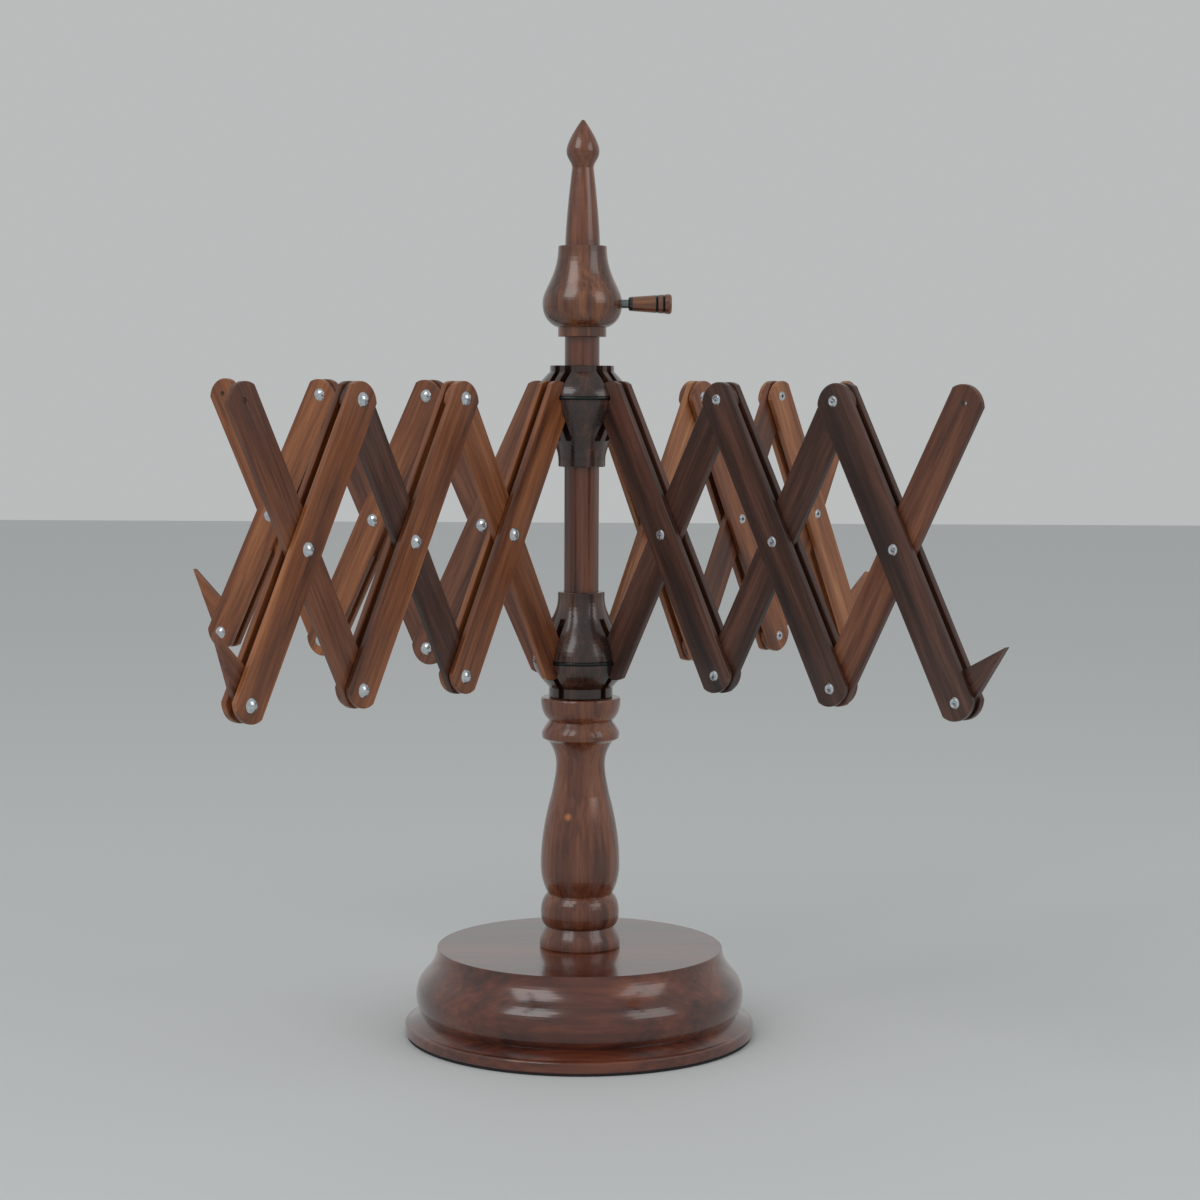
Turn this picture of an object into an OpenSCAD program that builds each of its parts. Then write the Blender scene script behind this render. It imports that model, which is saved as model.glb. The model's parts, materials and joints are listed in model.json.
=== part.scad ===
// Umbrella yarn swift: a turned stand with a rod, two slotted hubs that
// ride on it, and four riveted lazy-tongs arms that open like an umbrella.
// Millimetres. The origin is the centre of the stand's underside, +Z is up.

/* [Base] */
// Diameter of the foot flange
base_d = 232; // [180:1:300]
// Height of the wooden base without its felt
base_h = 57; // [40:1:80]
// Thickness of the felt under the base
felt_h = 1.5; // [1:0.5:4]
// Height of the outer edge of the foot flange
flange_edge_h = 7; // [4:0.5:10]
// How far the groove above the flange is cut in from the flange edge
groove_in = 11.7; // [6:0.1:16]
// How far the belly of the base stays in from the flange edge
belly_in = 7.5; // [4:0.1:12]
// Diameter of the flat top of the base
base_top_d = 189; // [140:1:240]

/* [Column] */
// Height of the column above the base
column_h = 166.5; // [130:0.5:220]
// Largest diameter of the column's beads and belly
column_d = 53; // [46:0.5:64]
// Diameter of the column's neck
neck_d = 32.2; // [31:0.1:40]
// Diameter of the tenon that the column stands on
tenon_d = 28; // [20:1:34]
// Length of the tenon
tenon_l = 34; // [20:1:38]

/* [Rod] */
// Diameter of the rod
rod_d = 22.8; // [16:0.1:24]
// Depth of the rod in the column
rod_socket = 40; // [25:1:60]
// Length of the turned finial at the top of the rod
finial_l = 81.2; // [60:0.5:110]
// Diameter of the finial's neck
finial_neck_d = 14; // [10:0.1:16]
// Diameter of the finial's drop, which the hubs slide over
drop_d = 21.6; // [14:0.1:22]

/* [Hubs] */
// Largest diameter of the hubs, at the pivot wire
hub_d = 63; // [58:0.5:80]
// Diameter of the hubs' round flange
hub_flange_d = 42; // [38:0.5:50]
// Diameter of the hubs' narrow end
hub_neck_d = 30.8; // [29:0.1:38]
// Length of a hub's bell, from the pivot wire to the narrow end
bell_l = 45; // [38:0.5:60]
// Length of the lower hub from the pivot wire down to the column
lower_hub_foot = 24.4; // [22:0.1:34]
// Length of the upper hub from the pivot wire up to its top
upper_hub_head = 20.9; // [18:0.1:30]
// Thickness of the upper hub's flange
upper_flange_h = 4; // [3:0.5:8]
// Thickness of the lower hub's flange
lower_flange_h = 6.5; // [3:0.5:8]
// Gap between the rod and what slides or turns on it
rod_gap = 0.3; // [0.15:0.05:0.6]
// Gap between the lower hub and the column top that it turns on
hub_seat_gap = 0.3; // [0.2:0.1:1]
// Radius of the circle that the pivot wires lie on, at a single slat
pivot_r = 30.5; // [28.5:0.1:38]
// Diameter of the pivot wire
wire_d = 2.4; // [1.6:0.1:2.6]
// Radius of the bottom of the slots
slot_floor_r = 16.5; // [14:0.1:17]
// How far the slots run along the bell past the pivot wire
slot_run = 28; // [24:0.5:36]

/* [Lattice] */
// Direction of each arm, seen from above
arm_angles = [-44.9, 51.1, 145.9, -127.3]; // [-180:0.1:180]
// Number of crossings in each arm
cell_count = 3; // [2:1:3]
// Length of a slat from first hole to last
slat_l = 196; // [160:1:240]
// Width of a slat
slat_w = 24; // [18:0.5:24]
// Thickness of a slat
slat_t = 4; // [3:0.1:5]
// Gap between the faces of neighbouring slats
layer_gap = 0.3; // [0.2:0.05:0.6]
// How far a slat runs on past its last hole
slat_end = 10.5; // [9:0.1:11]
// Radius of a slat's rounded end
slat_end_r = 14; // [13:0.1:20]
// Width of the eased edges of a slat
slat_ease = 0.6; // [0.3:0.1:1]
// Radius of the holes in the slats
hole_r = 1.8; // [1.7:0.05:2]
// Angle of a slat from upright at rest
open_angle = 28.6; // [16:0.1:50]

/* [Rivets and spikes] */
// Radius of the rivets' shank
shank_r = 1.75; // [1.4:0.05:1.75]
// Diameter of the rivets' domed head
rivet_head_d = 9.2; // [7:0.1:11]
// Height of the domed head
rivet_head_h = 2.6; // [1.5:0.1:3]
// Diameter of the rolled tail
rivet_tail_d = 6.8; // [5:0.1:8]
// Height of the rolled tail
rivet_tail_h = 0.8; // [0.5:0.1:1.2]
// Length of each arm's spike from its rivet to its point
spike_lengths = [47, 49, 53.5, 48.6]; // [36:0.1:60]
// Radius of a spike's end round its rivet
spike_r = 7.5; // [6:0.1:10]
// How far a spike's inner corner stands off the line from rivet to point
spike_up = 15.5; // [12:0.1:18]
// Angle of the spikes above level at rest, one for each arm
spike_angles = [47, 53, 56, 61.5]; // [30:0.5:65]

/* [Clamp] */
// Gap between the upper hub and the clamp collar at rest
collar_gap = 18.6; // [6:0.1:60]
// Height of the clamp collar
collar_h = 58.9; // [45:0.1:80]
// Largest diameter of the clamp collar
collar_d = 52.2; // [44:0.1:64]
// Diameter of the collar's two ends
collar_end_d = 31.6; // [28:0.1:36]
// Height of the straight ring under the collar's bulb
collar_ring_h = 6.1; // [4:0.1:12]
// Height of the screw above the collar's lower end
screw_up = 21.5; // [18:0.1:24]
// Diameter of the clamp screw
screw_d = 5.6; // [4:0.1:6.5]
// Gap round the screw in the collar
screw_gap = 0.1; // [0.05:0.05:0.3]
// Bare length of the screw between the collar and the handle
screw_bare = 3.9; // [3:0.1:20]
// Length of the screw inside the handle
screw_hold = 12; // [8:0.5:20]
// Length of the screw's handle
handle_l = 28.3; // [22:0.1:40]
// Diameter of the handle at its inner end
handle_in_d = 9.1; // [8.5:0.1:12]
// Diameter of the handle at its outer end
handle_out_d = 13.2; // [11:0.1:18]
// Depth of the two burnt grooves round the handle
burn_groove = 0.5; // [0.2:0.1:0.8]

/* [Hidden] */
$fn = 96;
curve_steps = 12;
turned_brown = [0.40, 0.21, 0.13];
base_brown = [0.36, 0.16, 0.09];
hub_brown = [0.21, 0.12, 0.09];
dark = [0.26, 0.15, 0.11];
brown = [0.40, 0.22, 0.14];
warm = [0.49, 0.27, 0.15];
tan = [0.60, 0.35, 0.20];
// The wood of each arm's slats and spike, from the hub outwards
inner_tones = [[dark, dark, brown], [tan, brown, warm], [brown, brown, warm], [warm, dark, brown]];
outer_tones = [[dark, dark, dark], [tan, warm, tan], [brown, warm, warm], [warm, warm, warm]];
spike_tones = [dark, tan, warm, brown];

base_top = felt_h + base_h;
column_top = base_top + column_h;
low_pivot_z = column_top + hub_seat_gap + lower_hub_foot;
pivot_rise = slat_l * cos(open_angle);
half_cell = slat_l * sin(open_angle) / 2;
high_pivot_z = low_pivot_z + pivot_rise;
collar_z = high_pivot_z + upper_hub_head + collar_gap;
rod_shoulder_z = collar_z + collar_h;
rod_bottom_z = column_top - rod_socket;
bore_r = rod_d / 2 + rod_gap;

layer = slat_t + layer_gap;
slot_w = slat_t + 2 * layer_gap;
stack_half = layer + slat_t / 2;
high_wire_r = sqrt(pow(pivot_r, 2) + pow(layer, 2));

base_nodes = ["base_disc", "base_felt", "column", "rod"];
hub_nodes = ["lower_hub", "lower_pivot_wire", "upper_hub", "upper_pivot_wire"];
clamp_nodes = ["clamp_collar", "clamp_screw", "clamp_handle"];
function arm_node(arm, piece) = str("arm_", arm, "_", piece);
function cell_node(arm, piece, cell) = str("arm_", arm, "_", piece, "_", cell);
arm_nodes = [for (arm = [1:len(arm_angles)]) each concat(
    [for (cell = [1:cell_count]) cell_node(arm, "inner_slat", cell)],
    [for (cell = [1:cell_count]) cell_node(arm, "outer_pair", cell)],
    [for (cell = [1:cell_count]) cell_node(arm, "rivets", cell)],
    [arm_node(arm, "spike")])];

// Points on a curve between two stations of a turned profile, each point
// [radius, height], pulled towards two control points. The first is left out.
function curve(p0, p1, p2, p3, steps = curve_steps) = [for (i = [1:steps])
    let (s = i / steps, q = 1 - s)
    pow(q, 3) * p0 + 3 * pow(q, 2) * s * p1 + 3 * q * pow(s, 2) * p2 + pow(s, 3) * p3];

// Points on an arc, from one angle to another, both ends included.
function arc(centre, r, from, to, steps = curve_steps) = [for (i = [0:steps])
    let (a = from + (to - from) * i / steps)
    centre + r * [cos(a), sin(a)]];

module turned(profile) {
    rotate_extrude() polygon(profile);
}

// Puts what follows in an arm's frame: origin at the lower pivot, X outwards
// along the arm, Y across it, Z up.
module in_arm(arm) {
    rotate([0, 0, arm_angles[arm - 1]])
        translate([pivot_r, 0, low_pivot_z])
            children();
}

// The felt disc under the base.
module base_felt() {
    felt_inset = 1.5;
    color("black") cylinder(d = base_d - 2 * felt_inset, h = felt_h);
}

// The base: a foot flange, a groove, a swelling ogee and a flat top, with a
// round mortise for the column.
module base_disc() {
    flange_r = base_d / 2;
    groove_r = flange_r - groove_in;
    belly_r = flange_r - belly_in;
    top_r = base_top_d / 2;
    edge_z = felt_h + flange_edge_h;
    groove_z = edge_z + base_h * 0.09;
    belly_z = felt_h + base_h * 0.45;
    turn = [top_r + 0.58 * (belly_r - top_r), base_top - base_h * 0.3];
    turn_pull = base_h * [0.06, -0.064];
    profile = concat(
        [[0, felt_h], [flange_r - 1.5, felt_h], [flange_r, felt_h + 1.5]],
        curve([flange_r, edge_z - 1], [flange_r, edge_z], [flange_r - 1, edge_z + 0.5],
            [flange_r - 3, edge_z + 1], 5),
        [[groove_r + 1, groove_z], [groove_r, groove_z + 0.6]],
        curve([groove_r, groove_z + 0.6], [groove_r + 2, groove_z + 2.4],
            [belly_r, belly_z - base_h * 0.1], [belly_r, belly_z]),
        curve([belly_r, belly_z], [belly_r, belly_z + base_h * 0.115], turn + turn_pull, turn, 8),
        curve(turn, turn - turn_pull, [top_r + 0.6, base_top - base_h * 0.14],
            [top_r + 0.1, base_top - 0.4], 10),
        [[top_r - 0.3, base_top], [0, base_top]]);
    color(base_brown) difference() {
        turned(profile);
        translate([0, 0, base_top - tenon_l]) cylinder(d = tenon_d, h = tenon_l + 1);
    }
}

// The column: foot, bead, vase, skirted bead and cup, turned in one piece,
// with a tenon below and a socket for the rod above.
module column() {
    big = column_d / 2;
    neck = neck_d / 2;
    waist = big - 5;
    step = column_h / 166.5;
    function at(r, h) = [r, base_top + h * step];
    foot_top = at(big - 4, 14);
    bead_top = at(big - 5.1, 35.6);
    belly = at(big - 0.4, 55);
    shoulder = at(neck + 2.9, 102);
    neck_low = at(neck, 122);
    skirt_in = at(waist - 0.5, 137.2);
    cup_low = at(waist - 0.8, 151.2);
    profile = concat(
        [[0, base_top - tenon_l], [tenon_d / 2, base_top - tenon_l], [tenon_d / 2, base_top],
            [big - 0.3, base_top], at(big + 0.2, 1)],
        curve(at(big + 0.2, 1), at(big + 0.2, 7), at(big - 2.5, 10), foot_top, 8),
        curve(foot_top, at(big + 0.4, 15.5), at(big + 1.1, 31), bead_top),
        curve(bead_top, at(big - 2.3, 41.5), at(big - 0.4, 47), belly, 8),
        curve(belly, at(big - 0.3, 72), at(big - 3.6, 88), shoulder, 14),
        curve(shoulder, at(neck + 1.6, 109), at(neck, 115), neck_low, 8),
        curve(neck_low, at(neck, 127.5), at(neck + 1.6, 132), skirt_in, 10),
        [at(big - 1.3, 139.6)],
        curve(at(big - 0.8, 141), at(big - 0.8, 145), at(waist + 1.8, 147.2), cup_low, 8),
        curve(cup_low, at(waist + 2, 153.2), at(big - 0.2, 157.5), at(big - 0.2, column_h / step - 1.2), 10),
        [[big - 0.7, column_top - 0.3], [big - 1.4, column_top], [rod_d / 2, column_top],
            [rod_d / 2, rod_bottom_z], [0, rod_bottom_z]]);
    color(turned_brown) turned(profile);
}

// The rod and its finial: a taper that the hubs slide over, a neck and a drop.
module rod() {
    r = rod_d / 2;
    neck = finial_neck_d / 2;
    drop = drop_d / 2;
    neck_z = rod_shoulder_z + finial_l * 0.618;
    drop_z = rod_shoulder_z + finial_l * 0.749;
    tip_z = rod_shoulder_z + finial_l;
    profile = concat(
        [[0, rod_bottom_z], [r, rod_bottom_z], [r, rod_shoulder_z]],
        curve([r, rod_shoulder_z], [r - 0.3, rod_shoulder_z + finial_l * 0.17],
            [neck + 1.6, neck_z - finial_l * 0.15], [neck, neck_z]),
        [[neck + 0.2, neck_z + 1.4]],
        curve([neck + 0.2, neck_z + 1.4], [neck + 0.8, neck_z + 4.2],
            [drop, neck_z + 6.5], [drop, drop_z], 8),
        curve([drop, drop_z], [drop, drop_z + finial_l * 0.07], [drop * 0.44, tip_z - finial_l * 0.067],
            [1, tip_z - 0.4]),
        [[0, tip_z]]);
    color(turned_brown) turned(profile);
}

// One hub, with its pivot wire at height 0, the bell up and the flange down.
// The slots lie at the given distances to the side of each arm's middle.
module hub(foot_l, flange_h, wire_r, slot_sides) {
    big = hub_d / 2;
    neck = hub_neck_d / 2;
    flange = hub_flange_d / 2;
    cap_l = foot_l - flange_h;
    ease_l = bell_l - 4;
    cap = [for (i = [0:curve_steps - 1])
        let (a = 90 * (1 - i / curve_steps))
        [flange + (big - flange) * cos(a), -cap_l * (1 - i / curve_steps)]];
    bell = [for (i = [0:curve_steps + 4])
        let (a = 180 * i / (curve_steps + 4))
        [neck + (big - neck) * (1 + cos(a)) / 2, ease_l * a / 180]];
    profile = concat(
        [[bore_r, -foot_l], [flange - 0.4, -foot_l], [flange, -foot_l + 0.4]], cap, bell,
        [[neck, bell_l - 0.4], [neck - 0.4, bell_l], [bore_r, bell_l]]);
    groove_r = wire_d / 2 + 0.05;
    difference() {
        turned(profile);
        rotate_extrude() {
            translate([wire_r, 0]) circle(r = groove_r, $fn = 32);
            translate([wire_r, -groove_r]) square([hub_d, 2 * groove_r]);
        }
        for (angle = arm_angles, side = slot_sides)
            rotate([0, 0, angle])
                translate([slot_floor_r, side - slot_w / 2, -foot_l - 1])
                    cube([hub_d, slot_w, foot_l + 1 + slot_run]);
    }
}

module lower_hub() {
    color(hub_brown) translate([0, 0, low_pivot_z])
        hub(lower_hub_foot, lower_flange_h, pivot_r, [0]);
}

module upper_hub() {
    color(hub_brown) translate([0, 0, high_pivot_z]) mirror([0, 0, 1])
        hub(upper_hub_head, upper_flange_h, high_wire_r, [-layer, layer]);
}

// A ring of wire whose two ends meet at the back of a hub.
module pivot_wire(ring_r) {
    end_gap = 1.2;
    color("black") rotate([0, 0, 90 + end_gap / 2])
        rotate_extrude(angle = 360 - end_gap)
            translate([ring_r, 0]) circle(d = wire_d, $fn = 32);
}

module lower_pivot_wire() {
    translate([0, 0, low_pivot_z]) pivot_wire(pivot_r);
}

module upper_pivot_wire() {
    translate([0, 0, high_pivot_z]) pivot_wire(high_wire_r);
}

// A slat, flat in XY, from its first hole at the origin along +X. Its long
// edges are eased by an eight-sided bar, its ends by discs with eased rims.
module slat() {
    inset = slat_end_r - slat_end;
    flat_end = sqrt(pow(slat_end_r - slat_ease, 2) - pow(slat_w / 2, 2)) - inset;
    half_w = slat_w / 2;
    half_t = slat_t / 2;
    section = [[half_w, half_t - slat_ease], [half_w - slat_ease, half_t],
        [slat_ease - half_w, half_t], [-half_w, half_t - slat_ease],
        [-half_w, slat_ease - half_t], [slat_ease - half_w, -half_t],
        [half_w - slat_ease, -half_t], [half_w, slat_ease - half_t]];
    disc = [[0, -half_t], [slat_end_r - slat_ease, -half_t], [slat_end_r, slat_ease - half_t],
        [slat_end_r, half_t - slat_ease], [slat_end_r - slat_ease, half_t], [0, half_t]];
    difference() {
        intersection() {
            translate([-slat_end, 0, 0]) rotate([90, 0, 90])
                linear_extrude(slat_l + 2 * slat_end) polygon(section);
            union() {
                translate([-flat_end, -slat_w, -half_t])
                    cube([slat_l + 2 * flat_end, 2 * slat_w, slat_t]);
                translate([inset, 0, 0]) turned(disc);
                translate([slat_l - inset, 0, 0]) turned(disc);
            }
        }
        for (x = [0, slat_l / 2, slat_l])
            translate([x, 0, -slat_t]) cylinder(r = hole_r, h = 2 * slat_t, $fn = 32);
    }
}

// A slat in an arm's frame, rising or falling outwards from its first hole,
// in the layer that lies the given distance across the arm.
module placed_slat(x, z, rise, side) {
    translate([x, side, z]) rotate([0, -rise, 0]) rotate([90, 0, 0]) slat();
}

// A slat of the middle layer. It rises outwards.
module inner_slat(arm, cell) {
    color(inner_tones[arm - 1][cell - 1]) in_arm(arm)
        placed_slat(2 * (cell - 1) * half_cell, 0, 90 - open_angle, 0);
}

// The two outer slats of a crossing. They fall outwards, one on each side.
module outer_pair(arm, cell) {
    color(outer_tones[arm - 1][cell - 1]) in_arm(arm)
        for (side = [-layer, layer])
            placed_slat(2 * (cell - 1) * half_cell, pivot_rise, open_angle - 90, side);
}

// A tubular rivet along Z through the three layers, its dome at +Z.
module rivet() {
    head_r = rivet_head_d / 2;
    tail_r = rivet_tail_d / 2;
    dome_r = (pow(head_r, 2) + pow(rivet_head_h, 2)) / (2 * rivet_head_h);
    dome_from = asin(head_r / dome_r);
    top = stack_half + rivet_head_h;
    tail = -stack_half - rivet_tail_h;
    tube_wall = 0.55;
    tube_depth = 3;
    tube_r = shank_r - tube_wall;
    dome = [for (i = [0:8]) let (a = dome_from * (1 - i / 8))
        [dome_r * sin(a), top - dome_r * (1 - cos(a))]];
    profile = concat(
        [[0, tail + tube_depth], [tube_r, tail + tube_depth], [tube_r, tail + 0.3]],
        arc([tail_r - 0.9, tail + 0.5], 0.5, -120, -20, 5),
        [[tail_r, -stack_half], [shank_r, -stack_half], [shank_r, stack_half]],
        dome);
    rotate_extrude($fn = 48) polygon(profile);
}

// The rivets that turn with one outer pair: at its top, unless the hub wire
// is there, at its crossing, and at its foot.
module rivets(arm, cell) {
    first = cell == 1 ? 1 : 0;
    color("silver") in_arm(arm)
        for (i = [first:2])
            translate([(2 * (cell - 1) + i) * half_cell, 0, pivot_rise * (1 - i / 2)])
                rotate([-90, 0, 0]) rivet();
}

// A spike like a thorn between the two slats at an arm's lower outer end. Its
// edges run straight from the point to its round end and its inner corner, and
// end a hair inside those two rounds.
module spike(arm) {
    corner_r = 4;
    corner = [3, spike_up - corner_r];
    reach = spike_lengths[arm - 1];
    tip = [reach, 0];
    to_tip = tip - corner;
    low = -acos(spike_r / reach);
    high = atan2(to_tip[1], to_tip[0]) + acos(corner_r / norm(to_tip));
    back = atan2(corner[1], corner[0]) + 90 - asin((spike_r - corner_r) / norm(corner));
    tuck = 0.05;
    function touch(centre, r, a) = centre + (r - tuck) * [cos(a), sin(a)];
    color(spike_tones[arm - 1]) in_arm(arm)
        translate([2 * cell_count * half_cell, 0, 0])
            rotate([0, -spike_angles[arm - 1], 0]) rotate([90, 0, 0])
                difference() {
                    translate([0, 0, -slat_t / 2]) linear_extrude(slat_t) {
                        circle(r = spike_r);
                        translate(corner) circle(r = corner_r, $fn = 48);
                        polygon([touch([0, 0], spike_r, low), tip, touch(corner, corner_r, high),
                            touch(corner, corner_r, back), touch([0, 0], spike_r, back)]);
                    }
                    translate([0, 0, -slat_t]) cylinder(r = hole_r, h = 2 * slat_t, $fn = 32);
                }
}

// The clamp collar: a straight ring, a bulb and a long neck, bored for the
// rod and drilled from one side for the screw.
module clamp_collar() {
    end_r = collar_end_d / 2;
    big = collar_d / 2;
    profile = concat(
        [[bore_r, 0], [end_r - 0.4, 0], [end_r, 0.4], [end_r, collar_ring_h]],
        curve([end_r + 0.6, collar_ring_h + 0.1], [big - 4, collar_ring_h + 2.3],
            [big, screw_up - 7.5], [big, screw_up]),
        curve([big, screw_up], [big, screw_up + 10], [end_r + 0.2, screw_up + 17],
            [end_r, collar_h - 0.4], 16),
        [[end_r - 0.4, collar_h], [bore_r, collar_h]]);
    color(turned_brown) translate([0, 0, collar_z]) difference() {
        turned(profile);
        translate([0, 0, screw_up]) rotate([0, 90, 0])
            cylinder(d = screw_d + 2 * screw_gap, h = collar_d, $fn = 48);
    }
}

// Puts what follows on the clamp screw's axis, Z pointing out of the collar.
module on_screw_axis() {
    translate([0, 0, collar_z + screw_up]) rotate([0, 90, 0]) children();
}

// The clamp screw, from the rod's side to its seat inside the handle.
module clamp_screw() {
    tip = bore_r;
    r = screw_d / 2;
    end = collar_d / 2 + screw_bare + screw_hold;
    color("dimgray") on_screw_axis()
        rotate_extrude($fn = 48)
            polygon([[0, tip], [r - 0.8, tip], [r, tip + 0.8], [r, end], [0, end]]);
}

// The turned handle of the clamp screw, with two burnt grooves.
module clamp_handle() {
    start = collar_d / 2 + screw_bare;
    end = start + handle_l;
    in_r = handle_in_d / 2;
    out_r = handle_out_d / 2;
    function side(z) = in_r + (out_r - in_r) * (z - start) / handle_l;
    function groove(z) = [[side(z - 0.5), z - 0.5], [side(z) - burn_groove, z],
        [side(z + 0.5), z + 0.5]];
    hole_end = start + screw_hold;
    profile = concat(
        [[screw_d / 2, start], [in_r - 0.8, start], [in_r, start + 0.8]],
        groove(start + handle_l * 0.66),
        groove(start + handle_l * 0.82),
        arc([out_r - 2, end - 2], 2, 0, 80, 5),
        [[0, end], [0, hole_end], [screw_d / 2, hole_end]]);
    color(turned_brown) on_screw_axis() rotate_extrude($fn = 64) polygon(profile);
}

base_disc();
base_felt();
column();
rod();
lower_hub();
lower_pivot_wire();
upper_hub();
upper_pivot_wire();
clamp_collar();
clamp_screw();
clamp_handle();
for (arm = [1:len(arm_angles)]) {
    spike(arm);
    for (cell = [1:cell_count]) {
        inner_slat(arm, cell);
        outer_pair(arm, cell);
        rivets(arm, cell);
    }
}
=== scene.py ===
"""Looks of an umbrella yarn swift: its woods, metals and felt, with a plain studio round it.

Metres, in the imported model's own frame: the stand's underside at the origin and Z up.
"""

import json
import logging
import math
from dataclasses import dataclass, field
from enum import Enum

import bpy
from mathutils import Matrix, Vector

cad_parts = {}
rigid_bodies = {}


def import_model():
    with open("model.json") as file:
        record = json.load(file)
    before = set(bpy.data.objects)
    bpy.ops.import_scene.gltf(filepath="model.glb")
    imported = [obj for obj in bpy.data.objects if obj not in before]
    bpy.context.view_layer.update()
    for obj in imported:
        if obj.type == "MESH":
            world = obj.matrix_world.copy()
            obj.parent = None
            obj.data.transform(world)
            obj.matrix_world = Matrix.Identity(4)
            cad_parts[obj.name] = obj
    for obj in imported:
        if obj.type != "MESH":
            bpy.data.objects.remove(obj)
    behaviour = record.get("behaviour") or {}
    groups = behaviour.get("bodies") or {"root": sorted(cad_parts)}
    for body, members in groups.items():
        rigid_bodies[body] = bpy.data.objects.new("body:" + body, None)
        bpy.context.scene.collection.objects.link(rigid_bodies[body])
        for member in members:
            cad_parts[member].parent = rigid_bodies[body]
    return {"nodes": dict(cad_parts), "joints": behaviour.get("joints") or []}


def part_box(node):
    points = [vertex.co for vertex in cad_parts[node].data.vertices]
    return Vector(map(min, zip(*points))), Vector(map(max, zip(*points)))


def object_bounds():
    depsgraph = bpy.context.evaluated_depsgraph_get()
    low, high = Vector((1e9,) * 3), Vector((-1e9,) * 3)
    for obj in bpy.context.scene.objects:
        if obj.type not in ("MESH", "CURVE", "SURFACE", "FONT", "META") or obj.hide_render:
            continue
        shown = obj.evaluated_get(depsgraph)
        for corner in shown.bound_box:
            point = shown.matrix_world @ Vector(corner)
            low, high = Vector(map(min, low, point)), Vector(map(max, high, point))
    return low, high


for leftover in list(bpy.data.objects):
    bpy.data.objects.remove(leftover)
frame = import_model()
CAD_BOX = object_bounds()
LOG = logging.getLogger("swift")

Colour = tuple[float, float, float]
ARM_COUNT = 4
CELL_COUNT = 3
OPEN_ANGLE = math.radians(28.6)
UP = Vector((0, 0, 1))
RIGHT = Vector((1, 0, 0))


def linear(colour: Colour) -> tuple[float, float, float, float]:
    """Turns a display colour into the linear one that a shader takes.

    Args:
        colour: red, green and blue as displayed, each from 0 to 1.

    Returns:
        The linear colour with full alpha.
    """
    parts = [c / 12.92 if c <= 0.04045 else ((c + 0.055) / 1.055) ** 2.4 for c in colour]
    return (parts[0], parts[1], parts[2], 1.0)


class Value:
    """A number in a shader, on which Python's own arithmetic can be written."""

    def __init__(self, tree: bpy.types.NodeTree, socket: bpy.types.NodeSocket) -> None:
        """Keeps the tree and the socket that gives the number."""
        self.tree = tree
        self.socket = socket

    def _math(self, operation: str, first: object, second: object, clamp: bool = False) -> "Value":
        """Adds one Math node.

        Args:
            operation: the node's operation.
            first: its first value, a number or a Value.
            second: its second value, a number or a Value.
            clamp: whether the result is kept from 0 to 1.

        Returns:
            The node's result.
        """
        node = self.tree.nodes.new("ShaderNodeMath")
        node.operation = operation
        node.use_clamp = clamp
        for socket, value in zip(node.inputs, (first, second)):
            if isinstance(value, Value):
                self.tree.links.new(value.socket, socket)
            else:
                socket.default_value = value
        return Value(self.tree, node.outputs[0])

    def __add__(self, other: object) -> "Value":
        """Adds."""
        return self._math("ADD", self, other)

    def __radd__(self, other: object) -> "Value":
        """Adds, reflected."""
        return self._math("ADD", other, self)

    def __sub__(self, other: object) -> "Value":
        """Subtracts."""
        return self._math("SUBTRACT", self, other)

    def __rsub__(self, other: object) -> "Value":
        """Subtracts, reflected."""
        return self._math("SUBTRACT", other, self)

    def __mul__(self, other: object) -> "Value":
        """Multiplies."""
        return self._math("MULTIPLY", self, other)

    def __rmul__(self, other: object) -> "Value":
        """Multiplies, reflected."""
        return self._math("MULTIPLY", other, self)

    def __abs__(self) -> "Value":
        """Drops the sign."""
        return self._math("ABSOLUTE", self, 0.0)

    def kept(self) -> "Value":
        """Keeps the number from 0 to 1."""
        return self._math("ADD", self, 0.0, clamp=True)


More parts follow.
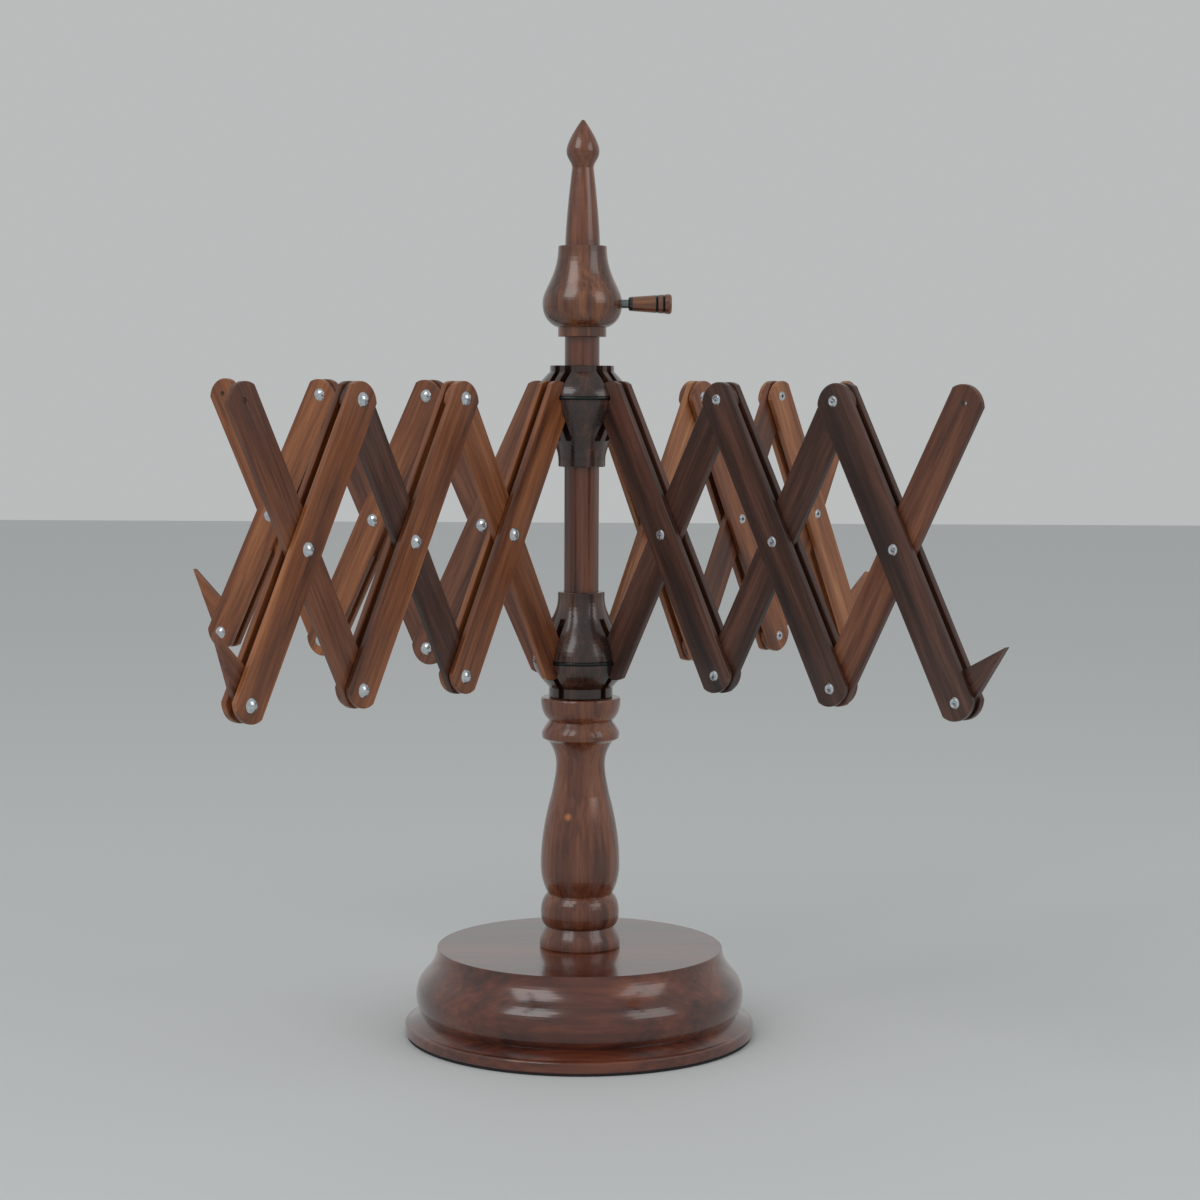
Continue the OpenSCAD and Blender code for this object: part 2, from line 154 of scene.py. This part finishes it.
class Shader:
    """One material, with short ways to add its nodes."""

    def __init__(self, name: str) -> None:
        """Makes a material that holds only its Principled shader."""
        self.material = bpy.data.materials.new(name)
        self.material.use_nodes = True
        self.tree = self.material.node_tree
        self.surface = self.tree.nodes["Principled BSDF"]
        self.place = self.node("ShaderNodeTexCoord", {}, {}).outputs["Object"]

    def put(self, socket: bpy.types.NodeSocket, value: object) -> None:
        """Sets a socket to a value, or links it to what gives the value."""
        if isinstance(value, Value):
            value = value.socket
        if isinstance(value, bpy.types.NodeSocket):
            self.tree.links.new(value, socket)
        else:
            socket.default_value = value

    def node(self, kind: str, settings: dict[str, object], values: dict[object, object]) -> bpy.types.Node:
        """Adds a node.

        Args:
            kind: the node's type.
            settings: its settings, set first.
            values: values or links of its sockets, by name or number.

        Returns:
            The new node.
        """
        made = self.tree.nodes.new(kind)
        for name, value in settings.items():
            setattr(made, name, value)
        for name, value in values.items():
            self.put(made.inputs[name], value)
        return made

    def along(self, direction: Vector) -> Value:
        """Gives how far a point lies along a direction, in metres."""
        dot = self.node("ShaderNodeVectorMath", {"operation": "DOT_PRODUCT"}, {0: self.place, 1: direction})
        return Value(self.tree, dot.outputs["Value"])

    def distance(self, point: Vector) -> Value:
        """Gives how far a point of the surface is from a place, in metres."""
        far = self.node("ShaderNodeVectorMath", {"operation": "DISTANCE"}, {0: self.place, 1: point})
        return Value(self.tree, far.outputs["Value"])

    def noise(self, vector: bpy.types.NodeSocket, scale: float, detail: float) -> Value:
        """Gives a noise from 0 to 1."""
        made = self.node("ShaderNodeTexNoise", {}, {"Vector": vector, "Scale": scale, "Detail": detail})
        return Value(self.tree, made.outputs[0])

    def ramp(self, factor: Value, stops: list[tuple[float, Colour]]) -> bpy.types.NodeSocket:
        """Gives a colour between the two end stops, with the middle ones between them."""
        made = self.node("ShaderNodeValToRGB", {}, {0: factor})
        elements = made.color_ramp.elements
        while len(elements) < len(stops):
            elements.new(0.5)
        for element, (position, colour) in zip(elements, stops):
            element.position = position
            element.color = linear(colour)
        return made.outputs[0]

    def mix(self, mask: Value, under: bpy.types.NodeSocket, over: Colour) -> bpy.types.NodeSocket:
        """Lays a colour over another where a mask says."""
        made = self.node("ShaderNodeMixRGB", {}, {0: mask, 1: under, 2: linear(over)})
        return made.outputs[0]

    def bump(self, height: Value, strength: float, depth: float) -> None:
        """Raises the surface by a height, without changing its shape."""
        made = self.node("ShaderNodeBump", {}, {"Strength": strength, "Distance": depth, "Height": height})
        self.put(self.surface.inputs["Normal"], made.outputs[0])


class Tone(Enum):
    """The slats' four woods, as dark streak, middle and light streak."""

    DARK = ((0.13, 0.07, 0.06), (0.26, 0.15, 0.11), (0.40, 0.25, 0.20))
    BROWN = ((0.22, 0.11, 0.07), (0.40, 0.22, 0.14), (0.54, 0.34, 0.23))
    WARM = ((0.29, 0.14, 0.07), (0.50, 0.28, 0.15), (0.66, 0.41, 0.24))
    TAN = ((0.40, 0.22, 0.12), (0.60, 0.36, 0.21), (0.74, 0.50, 0.32))


INNER_TONES = (
    (Tone.DARK, Tone.DARK, Tone.BROWN),
    (Tone.TAN, Tone.BROWN, Tone.WARM),
    (Tone.BROWN, Tone.BROWN, Tone.WARM),
    (Tone.WARM, Tone.DARK, Tone.BROWN),
)
OUTER_TONES = (
    (Tone.DARK, Tone.DARK, Tone.DARK),
    (Tone.TAN, Tone.WARM, Tone.TAN),
    (Tone.BROWN, Tone.WARM, Tone.WARM),
    (Tone.WARM, Tone.WARM, Tone.WARM),
)
SPIKE_TONES = (Tone.DARK, Tone.TAN, Tone.WARM, Tone.BROWN)


@dataclass(frozen=True)
class Wood:
    """A wood with streaks that run along its grain.

    Streak scales are in streaks for each metre, along and across the grain.
    """

    tones: tuple[Colour, Colour, Colour]
    roughness: float = 0.38
    coat: float = 0.25
    along_scale: float = 14.0
    across_scale: float = 260.0

    def shader(self, name: str, grain: Vector, seed: float) -> tuple[Shader, bpy.types.NodeSocket]:
        """Makes the wood's shader.

        Args:
            name: the material's name.
            grain: the direction that the grain runs in.
            seed: how far this piece's pattern is shifted.

        Returns:
            The shader and its colour, so that marks can be laid over it.
        """
        made = Shader(name)
        side = grain.cross(UP if abs(grain.z) < 0.9 else RIGHT).normalized()
        face = grain.cross(side)
        x = made.along(grain) * self.along_scale + seed
        y = made.along(side) * self.across_scale + seed
        z = made.along(face) * self.across_scale
        joined = made.node("ShaderNodeCombineXYZ", {}, {0: x, 1: y, 2: z}).outputs[0]
        broad = made.noise(joined, 0.35, 3.0)
        fine = made.noise(joined, 2.2, 5.0)
        streaks = broad * 0.65 + fine * 0.35
        dark, middle, light = self.tones
        colour = made.ramp(streaks, [(0.34, dark), (0.5, middle), (0.66, light)])
        made.put(made.surface.inputs["Base Color"], colour)
        made.put(made.surface.inputs["Roughness"], fine * 0.16 + (self.roughness - 0.08))
        made.surface.inputs["Coat Weight"].default_value = self.coat
        made.surface.inputs["Coat Roughness"].default_value = 0.12
        made.bump(fine, 0.25, 0.0002)
        return made, colour


@dataclass(frozen=True)
class Metal:
    """A metal or lacquered wire with faint variation in its gloss."""

    colour: Colour
    roughness: float
    metallic: float
    wear_scale: float = 600.0

    def material(self, name: str) -> bpy.types.Material:
        """Makes the metal's material."""
        made = Shader(name)
        cloud = made.noise(made.place, self.wear_scale, 2.0)
        shade = tuple(c * 0.86 for c in self.colour)
        made.put(made.surface.inputs["Base Color"], made.ramp(cloud, [(0.3, shade), (0.7, self.colour)]))
        made.put(made.surface.inputs["Roughness"], cloud * 0.1 + (self.roughness - 0.05))
        made.surface.inputs["Metallic"].default_value = self.metallic
        return made.material


def dress(node: str, material: bpy.types.Material) -> None:
    """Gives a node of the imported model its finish."""
    piece = frame["nodes"][node]
    if not piece.material_slots:
        piece.data.materials.append(material)
    for slot in piece.material_slots:
        slot.material = material
    LOG.info("%s is dressed", node)


@dataclass
class Stand:
    """The base, its felt, the column and the rod."""

    base_wood: Wood = Wood(
        ((0.17, 0.06, 0.04), (0.36, 0.16, 0.09), (0.50, 0.26, 0.15)), 0.24, 0.8, 9.0, 120.0
    )
    turned_wood: Wood = Wood(
        ((0.20, 0.08, 0.05), (0.40, 0.21, 0.13), (0.54, 0.32, 0.20)), 0.28, 0.6, 8.0, 190.0
    )
    # Place, radius and colour of a painted highlight: a light spot on the column's front, where the key
    # lamp's reflection falls.
    highlight_place: Vector = field(default_factory=lambda: Vector((-0.0079, -0.0205, 0.148)))
    highlight_radius: float = 0.0032
    highlight_colour: Colour = (0.80, 0.50, 0.26)

    def dress(self) -> None:
        """Dresses the stand, with a painted highlight, a light round spot, on the front of its column."""
        base, _ = self.base_wood.shader("base wood", RIGHT, 1.7)
        dress("base_disc", base.material)
        rod, _ = self.turned_wood.shader("rod wood", UP, 5.1)
        dress("rod", rod.material)
        column, colour = self.turned_wood.shader("column wood with painted highlight", UP, 8.4)
        # Painted highlight: a light spot laid into the column's colour where the key lamp's reflection
        # falls. It fades out from its middle.
        mask = (1.0 - column.distance(self.highlight_place) * (1.0 / self.highlight_radius)).kept()
        highlighted = column.mix(mask, colour, self.highlight_colour)
        column.put(column.surface.inputs["Base Color"], highlighted)
        dress("column", column.material)
        dress("base_felt", self.felt())

    def felt(self) -> bpy.types.Material:
        """Makes the black felt, rough and slightly uneven."""
        made = Shader("felt")
        nap = made.noise(made.place, 1800.0, 4.0)
        colours = [(0.3, (0.10, 0.10, 0.11)), (0.7, (0.20, 0.20, 0.21))]
        made.put(made.surface.inputs["Base Color"], made.ramp(nap, colours))
        made.surface.inputs["Roughness"].default_value = 0.95
        made.bump(nap, 0.6, 0.0004)
        return made.material


@dataclass
class Hubs:
    """The two slotted hubs and their pivot wires."""

    wood: Wood = Wood(((0.10, 0.05, 0.04), (0.21, 0.12, 0.09), (0.38, 0.23, 0.17)), 0.26, 0.6, 10.0, 210.0)
    wire: Metal = Metal((0.10, 0.14, 0.13), 0.18, 0.3)

    def dress(self) -> None:
        """Dresses both hubs and both wires."""
        wire = self.wire.material("black wire")
        for seed, level in enumerate(("lower", "upper")):
            wood, _ = self.wood.shader(f"{level} hub wood", UP, 3.0 + 4.2 * seed)
            dress(f"{level}_hub", wood.material)
            dress(f"{level}_pivot_wire", wire)


@dataclass
class Clamp:
    """The collar, its screw and the screw's handle with burnt rings."""

    wood: Wood = Wood(((0.19, 0.09, 0.06), (0.38, 0.21, 0.13), (0.55, 0.34, 0.21)), 0.26, 0.6, 10.0, 230.0)
    steel: Metal = Metal((0.52, 0.55, 0.56), 0.3, 1.0)
    burnt: Colour = (0.05, 0.03, 0.02)
    end_ring: float = 0.003
    groove_shares: tuple[float, float] = (0.66, 0.82)
    groove_width: float = 0.0011

    def dress(self) -> None:
        """Dresses the collar, the screw and the handle."""
        collar, _ = self.wood.shader("collar wood", UP, 2.3)
        dress("clamp_collar", collar.material)
        dress("clamp_screw", self.steel.material("screw steel"))
        low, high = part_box("clamp_handle")
        handle, colour = self.wood.shader("handle wood", RIGHT, 6.6)
        place = handle.along(RIGHT)
        ring = ((low.x + self.end_ring - place) * (1.0 / 0.0005)).kept()
        colour = handle.mix(ring, colour, self.burnt)
        for share in self.groove_shares:
            middle = low.x + share * (high.x - low.x)
            groove = ((self.groove_width - abs(place - middle)) * (1.0 / 0.0003)).kept()
            colour = handle.mix(groove, colour, self.burnt)
        handle.put(handle.surface.inputs["Base Color"], colour)
        dress("clamp_handle", handle.material)


@dataclass
class Arm:
    """One lazy-tongs arm: its slats, rivets and spike."""

    number: int
    rivet: bpy.types.Material

    def direction(self) -> Vector:
        """Gives the level direction that the arm points in, from its foot joint's axis."""
        name = "fold" if self.number == 1 else f"arm_{self.number}_foot_pivot"
        joint = next(j for j in frame["joints"] if j["name"] == name)
        return Vector(joint["axis"]).cross(UP).normalized()

    def slat(self, node: str, tone: Tone, grain: Vector, seed: float) -> None:
        """Dresses one node of slats, with the grain along them."""
        made, _ = Wood(tone.value).shader(f"{node} wood", grain.normalized(), seed)
        dress(node, made.material)

    def dress(self) -> None:
        """Dresses the whole arm."""
        out = self.direction() * math.sin(OPEN_ANGLE)
        rise = UP * math.cos(OPEN_ANGLE)
        for cell in range(1, CELL_COUNT + 1):
            seed = 13.7 * self.number + 3.1 * cell
            inner = INNER_TONES[self.number - 1][cell - 1]
            outer = OUTER_TONES[self.number - 1][cell - 1]
            self.slat(f"arm_{self.number}_inner_slat_{cell}", inner, out + rise, seed)
            self.slat(f"arm_{self.number}_outer_pair_{cell}", outer, out - rise, seed + 1.4)
            dress(f"arm_{self.number}_rivets_{cell}", self.rivet)
        spike_grain = self.direction() + UP
        self.slat(f"arm_{self.number}_spike", SPIKE_TONES[self.number - 1], spike_grain, 2.9 * self.number)


@dataclass
class Studio:
    """The camera of the photograph, a pale floor and soft light."""

    camera_place: Colour = (0.0124, -1.750, 0.4391)
    camera_down: float = math.radians(4.9)
    camera_roll: float = math.radians(0.27)
    lens: float = 80.1
    sensor: float = 36.0
    floor_size: float = 12.0
    floor_colour: Colour = (0.83, 0.84, 0.84)
    sky_strength: float = 0.75

    def build(self) -> None:
        """Makes the camera, the floor, the sky and the lamps."""
        bpy.context.scene.view_settings.view_transform = "Standard"
        self.camera()
        self.floor()
        self.sky()
        self.lamp("key", (-1.3, -1.5, 2.0), 16.0, 1.4)
        self.lamp("fill", (1.6, -1.1, 1.3), 7.0, 1.2)

    def camera(self) -> None:
        """Makes the camera and makes it the scene's."""
        data = bpy.data.cameras.new("camera")
        data.lens = self.lens
        data.sensor_width = self.sensor
        camera = bpy.data.objects.new("camera", data)
        camera.location = self.camera_place
        camera.rotation_euler = (math.pi / 2 - self.camera_down, 0, 0)
        camera.rotation_euler.rotate_axis("Z", self.camera_roll)
        bpy.context.scene.collection.objects.link(camera)
        bpy.context.scene.camera = camera

    def floor(self) -> None:
        """Makes the pale floor."""
        bpy.ops.object.select_all(action="DESELECT")
        bpy.ops.mesh.primitive_plane_add(size=self.floor_size)
        floor = bpy.context.object
        floor.name = "floor"
        made = Shader("floor")
        made.surface.inputs["Base Color"].default_value = linear(self.floor_colour)
        made.surface.inputs["Roughness"].default_value = 0.9
        floor.data.materials.append(made.material)

    def sky(self) -> None:
        """Makes the pale light all round."""
        world = bpy.data.worlds.new("sky")
        world.use_nodes = True
        background = world.node_tree.nodes["Background"]
        background.inputs["Color"].default_value = linear(self.floor_colour)
        background.inputs["Strength"].default_value = self.sky_strength
        bpy.context.scene.world = world

    def lamp(self, name: str, place: Colour, watts: float, size: float) -> None:
        """Makes one soft square lamp that faces the object's middle.

        Args:
            name: the lamp's name.
            place: where it hangs.
            watts: its power.
            size: the length of its side.
        """
        data = bpy.data.lights.new(name, "AREA")
        data.energy = watts
        data.size = size
        lamp = bpy.data.objects.new(name, data)
        lamp.location = place
        aim = (CAD_BOX[0] + CAD_BOX[1]) / 2 - Vector(place)
        lamp.rotation_euler = aim.to_track_quat("-Z", "Y").to_euler()
        bpy.context.scene.collection.objects.link(lamp)


def main() -> None:
    """Builds the studio and dresses every sub-assembly."""
    logging.basicConfig(level=logging.INFO)
    Studio().build()
    Stand().dress()
    Hubs().dress()
    Clamp().dress()
    rivet = Metal((0.86, 0.88, 0.90), 0.16, 1.0).material("rivet plate")
    for number in range(1, ARM_COUNT + 1):
        Arm(number, rivet).dress()


if __name__ == "__main__":
    main()
